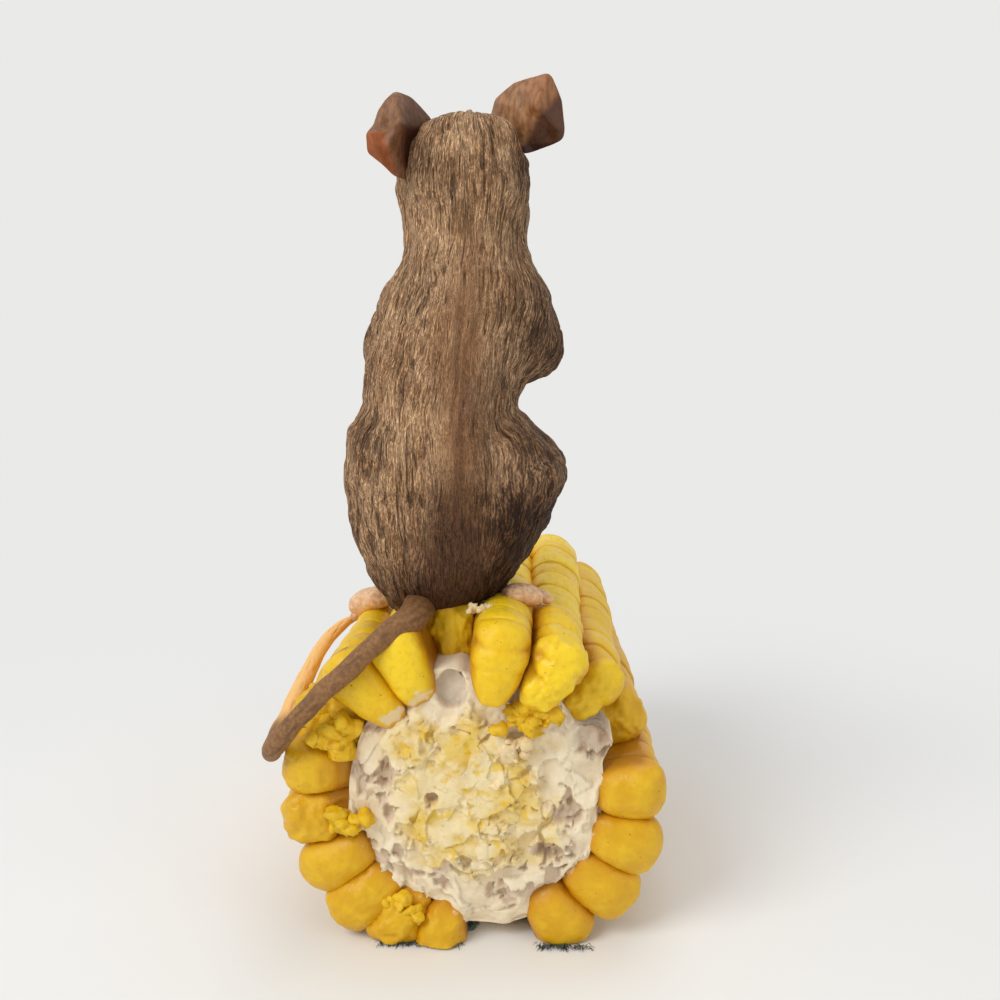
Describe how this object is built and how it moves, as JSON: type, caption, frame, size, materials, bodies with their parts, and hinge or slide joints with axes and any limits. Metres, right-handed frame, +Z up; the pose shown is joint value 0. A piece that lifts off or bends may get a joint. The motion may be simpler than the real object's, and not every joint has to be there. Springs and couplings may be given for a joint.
{
  "type": "mouse figurine",
  "caption": "Painted resin ornament of a mouse sitting upright on a broken piece of corn cob, with its tail laid along the kernels and a felt pad under the base.",
  "frame": {"origin": "middle of the felt pad's underside, on the surface that the ornament stands on, under the cob's axis", "axes": "+Z up, +Y along the cob the way the mouse faces, +X to the mouse's right"},
  "size_m": [0.0519, 0.0659, 0.1096],
  "materials": {
    "fur": "hand-painted resin, brown fur with a dark wash in the grooves",
    "ear": "hand-painted resin, reddish brown ear skin",
    "tail": "hand-painted resin, grey brown fading to peach at the tip",
    "skin": "hand-painted resin, peach skin of the hind feet",
    "kernel": "hand-painted resin, golden yellow with orange in the grooves",
    "pith": "hand-painted resin, off-white pith with a yellow dry brush",
    "felt": "dark green felt",
    "bead": "glossy black bead",
    "pin": "plain steel dowel"
  },
  "bodies": {
    "root": {"torso": "fur", "head": "fur", "haunch_right": "fur", "haunch_left": "fur", "arm_right": "fur", "arm_left": "fur", "ear_right": "ear", "ear_left": "ear", "eye_right": "bead", "eye_left": "bead", "foot_right": "skin", "foot_left": "skin", "tail": "tail", "mounting_pin": "pin", "felt_pad": "felt", "cob_core": "pith", "kernel_row_01": "kernel", "kernel_row_02": "kernel", "kernel_row_03": "kernel", "kernel_row_04": "kernel", "kernel_row_05": "kernel", "kernel_row_06": "kernel", "kernel_row_07": "kernel", "kernel_row_08": "kernel", "kernel_row_09": "kernel", "kernel_row_10": "kernel", "kernel_row_11": "kernel", "kernel_row_12": "kernel", "kernel_row_13": "kernel", "kernel_row_14": "kernel", "kernel_row_15": "kernel", "kernel_row_16": "kernel", "kernel_row_17": "kernel", "kernel_row_18": "kernel", "kernel_row_19": "kernel"}
  },
  "joints": []
}
